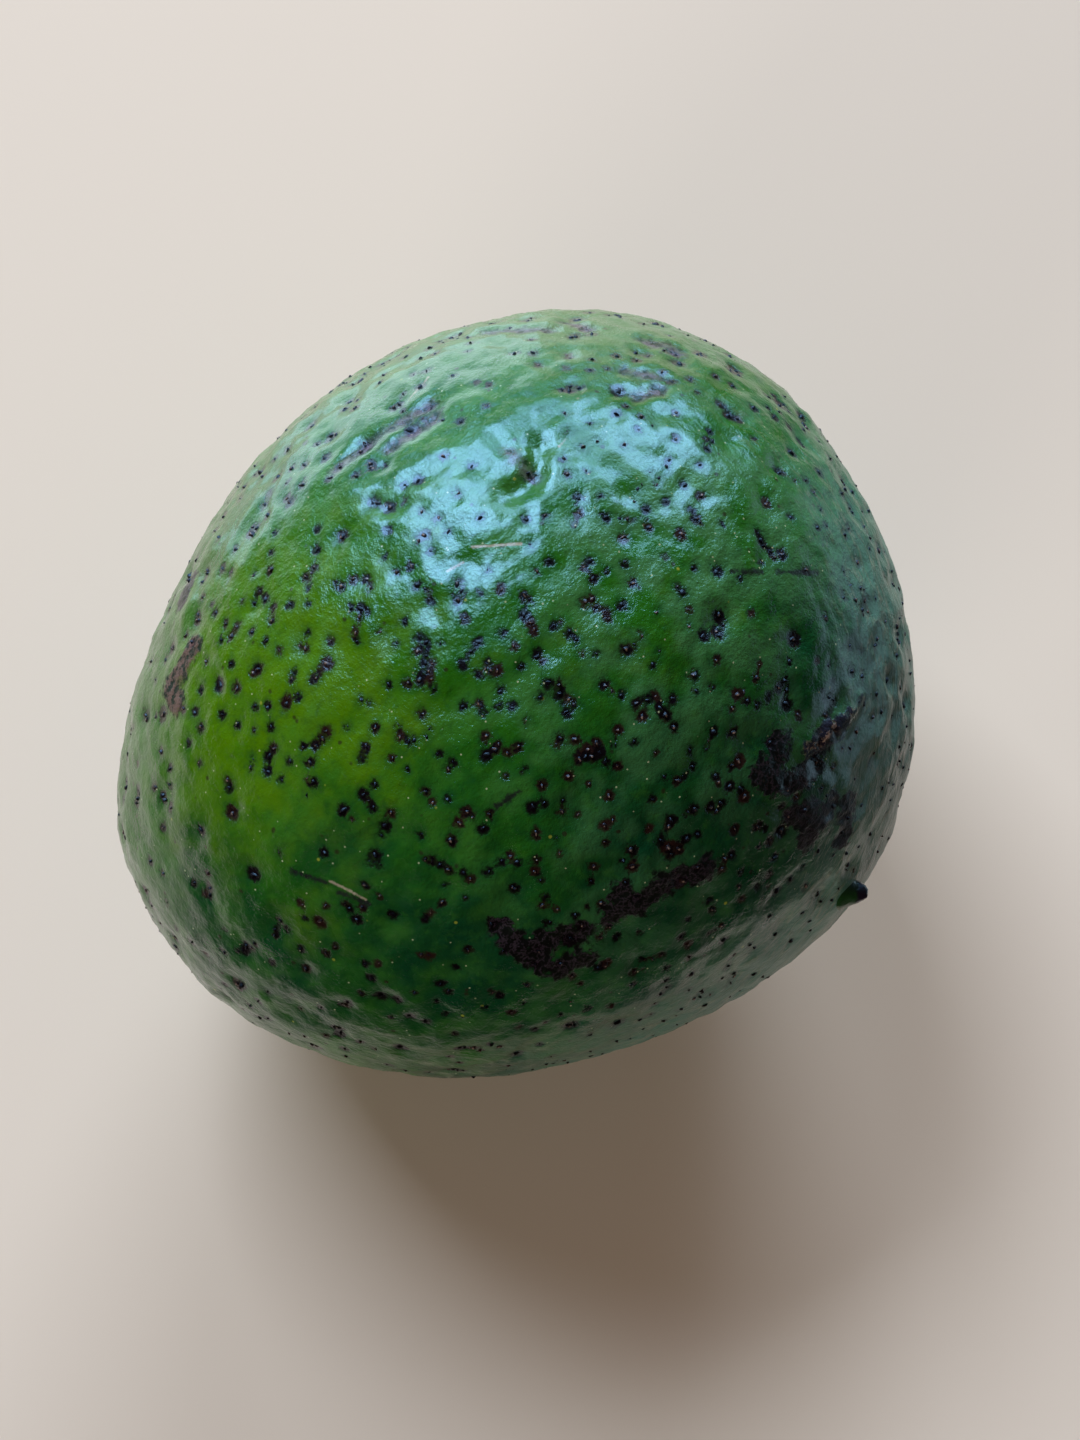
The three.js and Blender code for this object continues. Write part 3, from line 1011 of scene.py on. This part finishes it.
def mark(g, name):
    return g.wire("ShaderNodeAttribute", {"attribute_name": name}, {}, "Fac")


def zone(g, place, zones):
    """How deep a place lies in the nearest of some zones of colour."""
    depth = None
    for pixel, reach, strength in zones:
        away = g.length(place - tuple(at_pixel(pixel)))
        here = g.smooth(away, 0.15 * reach * MM, 1.5 * reach * MM, strength, 0.0)
        depth = here if depth is None else g.function("MAXIMUM", depth, here)
    return depth


def greens(g, place):
    """The peel's green at a place: lime on the left cheek, deep blue-green low and on the right that is
    partly painted shade, pale waxy clouds that are partly painted sheen, mottled.
    """
    drift = g.noise(place, DRIFT_SIZE * MM) - 0.5
    blotch = g.noise(place, BLOTCH_SIZE * MM, 3.0, 0.6) - 0.5
    lime = g.smooth(zone(g, place, LIME_ZONES) + drift * 0.7 + blotch * 1.3, 0.1, 0.95)
    # The deep zones are partly painted shade on the side away from the light
    deep = g.smooth(zone(g, place, DEEP_AND_SHADED_ZONES) + drift * 0.5 - blotch * 0.6, 0.1, 0.95)
    shade = g.blend(deep, g.blend(lime, GREEN, LIME), DEEP_GREEN_AND_SHADE)
    # Pale waxy clouds that are partly painted sheen, milkier towards the right of the picture
    cloud = g.noise(place, CLOUD_SIZE * MM, 3.0, 0.55)
    sheen_on_right = g.smooth(g.dot(place, tuple(RIGHT)), -0.01, 0.015)
    sheen_colour = g.blend(sheen_on_right, WAX_TONE_AND_SHEEN, MILKY_SHEEN)
    clear = 1 - deep * 0.5 - lime * 0.5
    sheen_amount = g.smooth(cloud + sheen_on_right * 0.075, 0.45, 0.65, 0.0, 0.6)
    shade = g.blend(sheen_amount * clear, shade, sheen_colour)
    fine = g.noise(place, MOTTLE_SIZE * MM, 3.0, 0.65)
    shade = g.blend(g.smooth(fine, 0.5, 0.75, 0.0, 0.5), shade, g.blend(0.5, shade, WAX_TONE_AND_SHEEN))
    return g.blend(g.smooth(fine, 0.5, 0.25, 0.0, 0.5), shade, g.blend(0.6, shade, DEEP_GREEN_AND_SHADE))


def line_mask(g, place, lines, unevenness, edge):
    """Where some straight lines between pixels run, seen from the camera, on the near side alone."""
    wander, near, far = edge
    nearest = None
    for pixels in lines:
        start, end = [at_pixel(pixel) for pixel in pixels]
        along = end - start
        part = g.dot(place - tuple(start), tuple(along / along.length_squared))
        part = g.function("MINIMUM", g.function("MAXIMUM", part, 0.0), 1.0)
        apart = place - tuple(start) - part * tuple(along)
        away = g.length(apart - g.dot(apart, tuple(BACK)) * tuple(BACK * LINE_FLATTENING))
        nearest = away if nearest is None else g.function("MINIMUM", nearest, away)
    return g.smooth(nearest + unevenness * (wander * MM), near * MM, far * MM, 1.0, 0.0)


def mark_mask(g, name, streaks):
    """Where a kind of mark colours the peel, with ragged edges."""
    raggedness, near, far = MARK_EDGE[name]
    return g.smooth(mark(g, name) + (streaks - 0.5) * raggedness, near, far, 1.0, 0.0)


def rim_marks(g, place):
    """What shows only near the outline of the picture: wrinkles along it, and two kinds of painted sheen,
    pale and teal, for the reflection at the grazing edge.
    """
    spoke = place - tuple(LIFT * MM)
    across = g.dot(spoke, tuple(RIGHT))
    up = g.dot(spoke, tuple(UP))
    out = g.function("SQRT", across * across + up * up)
    round_it = g.function("ARCTAN2", up, across) * (RIM_STRETCH * MEAN_RADIUS * MM)
    forward = g.dot(spoke, tuple(BACK))
    stretched = g.join(out, round_it, forward * RIM_STRETCH)
    height = g.noise(stretched, WRINKLE_SIZE * MM, 2.0, 0.55)
    crests = g.smooth(g.function("ABSOLUTE", height - 0.5), 0.0, 0.05, 1.0, 0.0)
    seen = g.smooth(forward, RIM_BACK[0] * MM, RIM_BACK[1] * MM)
    low_right = g.smooth(across * 0.8 - up * 0.6, -0.01, 0.025, 0.25, 1.0)
    strength = g.smooth(out, RIM_WRINKLES[0] * MM, RIM_WRINKLES[1] * MM) * low_right * seen
    rim = g.smooth(out, RIM_SHEEN_REACH[0] * MM, RIM_SHEEN_REACH[1] * MM) * seen
    # Painted sheen of the grazing edge: pale on the upper left, teal on the right
    pale = rim * g.smooth(up * 0.8 - across * 0.6, 0.01, 0.034, 0.0, 0.3)
    teal_sheen = rim * g.smooth(across * 0.9 - up * 0.45, 0.012, 0.04, 0.0, 0.65)
    return height, crests, strength, pale, teal_sheen


def dots(g, place, pattern):
    """Small round dots, one in some of the cells of a random pattern."""
    spacing, radius, share = pattern
    room, pick = g.cells(place, spacing * MM)
    size = radius / spacing
    return g.smooth(room, 0.5 * size, size, 1.0, 0.0) * g.smooth(pick[0], 0.99 - share, 1.0 - share)


def skin_material():
    material, g, shader = new_material("glossy peel")
    place = g.wire("ShaderNodeTexCoord", {}, {}, "Object")
    kind = mark(g, "kind")
    tight = g.noise(place, TIGHT_SIZE * MM, 2.0, 0.6) - 0.5
    loose = g.noise(place, LOOSE_SIZE * MM) - 0.5
    edge = mark(g, "pore") + tight * 0.8 + loose * 1.1
    streaks = g.noise(place, STREAK_SIZE * MM, 3.0, 0.65)

    # Pale specks that partly stand for painted glints, yellow dots and brown dots between the pores
    specks_and_glints = dots(g, place, SPECK_AND_GLINT_DOTS)
    yellow = dots(g, place, YELLOW_DOTS)
    brown = dots(g, place + loose * (0.4 * MM), BROWN_DOTS)

    # Each pore is a dark core in a red-brown edge, and the peel round it is darkened with painted shade, as
    # in its pit
    pit_shade = g.smooth(edge, 0.0, 1.2, 1.0, 0.0)
    rim = g.smooth(edge, 0.02, 0.38, 1.0, 0.0)
    core = g.smooth(edge, -0.16, 0.12, 1.0, 0.0)
    bark = g.blend(g.smooth(kind + tight * 1.2, 0.5, 0.95), BARK_BLACK, RED_BROWN)
    brim = g.blend(g.smooth(kind + loose, 0.25, 0.85), BARK_BLACK, RED_BROWN)
    paint = g.blend(brown * 0.7, greens(g, place), RED_BROWN)
    paint = g.blend(yellow * 0.7, paint, YELLOW_DOT)
    # Painted shade round each pore
    paint = g.blend(pit_shade * 0.4, paint, DEEP_GREEN_AND_SHADE)
    paint = g.blend(rim * 0.8, paint, brim)
    paint = g.blend(core, paint, bark)
    # Pale specks, partly painted glints
    paint = g.blend(specks_and_glints * 0.7, paint, SPECK_AND_GLINT)

    # Blackened, corky, rubbed and scratched marks
    smudge, cork, rub, scab = [mark_mask(g, name, streaks) for name in MARKS]
    veins = g.smooth(g.function("ABSOLUTE", streaks - 0.5), 0.0, 0.05, 1.0, 0.0)
    rubbed = g.blend(g.smooth(streaks, 0.42, 0.56), PURPLE_BLACK, LILAC)
    charred = g.blend(veins * 0.26, BARK_BLACK, LILAC)
    corky = g.blend(g.smooth(streaks + tight * 0.3, 0.5, 0.6), PURPLE_BLACK, TAN)
    scabbed = g.blend(g.smooth(streaks + tight * 0.5, 0.38, 0.58), BARK_BLACK, SCAB)
    streak = line_mask(g, place, STREAKS, tight + loose, STREAK_EDGE)
    scratch = line_mask(g, place, SCRATCHES, tight, SCRATCH_EDGE)
    wrinkles, crests, rims, pale, teal_sheen = rim_marks(g, place)
    paint = g.blend(streak * 0.85, paint, PURPLE_BLACK)
    # Painted sheen near the outline: pale and teal
    paint = g.blend(teal_sheen, g.blend(pale, paint, PALE_RIM_SHEEN), TEAL_RIM_SHEEN)
    paint = g.blend(crests * rims * g.smooth(loose, -0.12, 0.12, 0.15, 0.65), paint, RIM_GREY)
    paint = g.blend(rub * 0.8, paint, rubbed)
    paint = g.blend(smudge * 0.95, paint, charred)
    paint = g.blend(cork, paint, corky)
    paint = g.blend(scab * 0.9, paint, scabbed)
    paint = g.blend(scratch * 0.6, paint, PALE_SCAR)

    bumps = g.noise(place, BUMP_SIZE * MM, 4.0, 0.6) * 2.4 + tight * 0.3
    crater = g.bell(edge - 0.5, 0.35) * 0.12 - g.smooth(edge, 0.0, 0.5, 0.24, 0.0)
    marks = ((cork + scab) * 1.4 + smudge * 0.9 + rub * 0.8) * streaks
    height = bumps + crater + marks + (wrinkles * 1.6 + crests * 0.4) * rims
    normal = g.bump(height, BUMP_DEPTH)
    haze = g.smooth(g.noise(place, HAZE_SIZE * MM, 3.0), 0.3, 0.7, *ROUGHNESS)
    plug(
        g, shader,
        Base_Color=paint,
        Roughness=haze + (cork + scab) * 0.3 + smudge * 0.08 + rims * 0.1,
        IOR=1.4,
        Coat_Weight=(1 - cork) * (1 - scab) * (1 - rub * 0.6) * (1 - rims * 0.7) * 0.5,
        Coat_Roughness=0.15,
        Normal=normal,
    )
    return material


def grain_material():
    """The pores' corky grains: black-brown, with a paler top on many."""
    material, g, shader = new_material("pore cork")
    place = g.wire("ShaderNodeTexCoord", {}, {}, "Object")
    kind = mark(g, "kind")
    fleck = g.noise(place, 0.35 * MM, 2.0, 0.6)
    bark = g.blend(g.smooth(kind + (fleck - 0.5) * 1.2, 0.6, 1.0), BARK_BLACK, RED_BROWN)
    top = g.smooth(mark(g, "rise") + (fleck - 0.5) * 0.9, 0.6, 1.0)
    top = top * g.smooth(kind + (fleck - 0.5) * 0.5, 0.4, 0.7)
    paint = g.blend(top * 0.75, bark, TAN)
    normal = g.bump(fleck, 0.07, 0.8)
    plug(
        g, shader,
        Base_Color=paint, Roughness=0.52, IOR=1.42, Coat_Weight=0.12, Coat_Roughness=0.25, Normal=normal,
    )
    return material


def point_material():
    """Green at its foot, blackened and shiny at its tip."""
    material, g, shader = new_material("flower point")
    place = g.wire("ShaderNodeTexCoord", {}, {}, "Object")
    fleck = g.noise(place, 0.6 * MM, 2.0, 0.6)
    tip = g.smooth(mark(g, "rise") + (fleck - 0.5) * 0.25, 0.42, 0.62)
    paint = g.blend(tip, POINT_GREEN, POINT_BLACK)
    normal = g.bump(fleck, 0.1, 0.7)
    plug(
        g, shader,
        Base_Color=paint, Roughness=0.35, IOR=1.46, Coat_Weight=0.6, Coat_Roughness=0.15, Normal=normal,
    )
    return material


def stem_material():
    """Dry brown cork, mottled with a darker brown."""
    material, g, shader = new_material("stem scar cork")
    place = g.wire("ShaderNodeTexCoord", {}, {}, "Object")
    grain = g.noise(place, 0.8 * MM, 3.0, 0.65)
    paint = g.blend(g.smooth(grain, 0.3, 0.7), STEM_DARK, STEM_BROWN)
    normal = g.bump(grain, 0.25)
    plug(g, shader, Base_Color=paint, Roughness=0.75, Normal=normal)
    return material


# The set

def set_camera():
    data = bpy.data.cameras.new("camera")
    data.sensor_width = SENSOR
    data.lens = FOCAL_PIXELS / PHOTO_HEIGHT * SENSOR
    camera = link(bpy.data.objects.new("camera", data))
    turned = Matrix((RIGHT, UP, BACK)).transposed().to_4x4()
    camera.matrix_world = Matrix.Translation(CAMERA_PLACE) @ turned
    bpy.context.scene.camera = camera


def direction_to(aim):
    """A lamp's place as a direction from the body."""
    if len(aim) == 3:
        return Vector(aim)
    turn, rise = [math.radians(angle) for angle in aim]
    level = RIGHT * math.cos(turn) + LEVEL_UP * math.sin(turn)
    return level * math.cos(rise) + Vector((0, 0, math.sin(rise)))


def softbox(name, aim, distance, size, radiance, tint):
    """A lamp that faces the body's middle."""
    data = bpy.data.lights.new(name, "AREA")
    data.shape = "RECTANGLE"
    data.size, data.size_y = size
    data.energy = radiance * math.pi * size[0] * size[1]
    data.color = tint
    lamp = link(bpy.data.objects.new(name, data))
    direction = direction_to(aim)
    lamp.location = LIFT * MM + direction * distance
    lamp.rotation_euler = direction.to_track_quat("Z", "Y").to_euler()
    return lamp


def set_light():
    """Broad daylight from the top of the picture, and softboxes that only show as its shine."""
    for name, values in LAMPS.items():
        lamp = softbox(name, *values)
        lamp.visible_glossy = False
    for name, values in SHINES.items():
        lamp = softbox(name, *values)
        lamp.visible_diffuse = False
        lamp.visible_camera = False


def set_room():
    """Warm light from all round, which doesn't show as shine."""
    world = bpy.data.worlds.new("studio")
    world.use_nodes = True
    back = world.node_tree.nodes["Background"]
    back.inputs["Color"].default_value = (*WARM, 1.0)
    back.inputs["Strength"].default_value = ROOM_STRENGTH
    bpy.context.scene.world = world
    world.cycles_visibility.glossy = False
    bpy.context.scene.view_settings.view_transform = "Standard"


def floor_plane(name, reach, depth, material):
    left, right, below, above = reach
    spans = ((left, below), (right, below), (right, above), (left, above))
    corners = [RIGHT * across + LEVEL_UP * up - Vector((0, 0, depth * MM)) for across, up in spans]
    mesh = bpy.data.meshes.new(name)
    mesh.from_pydata(corners, [], [(0, 1, 2, 3)])
    mesh.materials.append(material)
    floor = link(bpy.data.objects.new(name, mesh))
    return floor


def set_floor():
    """The floor that fills the picture, and a wider one just below it that only the camera sees."""
    material, g, shader = new_material("pale floor")
    plug(g, shader, Base_Color=(*FLOOR_COLOUR, 1.0), Roughness=0.8, Specular_IOR_Level=0.0)
    floor_plane("floor", FLOOR_REACH, 0, material)
    wide = floor_plane("wide floor", WIDE_REACH, WIDE_DEPTH, material)
    wide.visible_diffuse = False
    wide.visible_glossy = False
    wide.visible_shadow = False


def build():
    pits = draw_pits(drawing(SEED))
    pit_points = points_object(
        "pit points",
        [body_point(direction) for direction, _, _ in pits],
        depth=[depth * MM for _, depth, _ in pits],
        width=[width * MM for _, _, width in pits],
    )
    layout = pore_layout(pits)
    pore_points = points_object(
        "pore points",
        [place for place, _, _ in layout],
        radius=[radius * MM for _, radius, _ in layout],
        kind=[kind for _, _, kind in layout],
    )
    skin = form_skin(pit_points, pore_points, skin_material())
    grains = form_pores(pore_points, skin, grain_material())
    point = turned_form(
        "flower_point", POINT_PROFILE, POINT_PLACE, POINT_HEADING, POINT_FORM, point_material(),
    )
    scar = turned_form("stem_scar", STEM_RING, STEM_PLACE, STEM_PLACE, STEM_FORM, stem_material())
    pieces = [skin, grains, point, scar]
    for helper in [o for o in bpy.context.scene.objects if o.type == "MESH" and o not in pieces]:
        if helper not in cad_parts.values():
            bpy.data.objects.remove(helper)
    for piece in pieces:
        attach(piece, "root")
        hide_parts("avocado")


build()
set_floor()
set_light()
set_room()
set_camera()
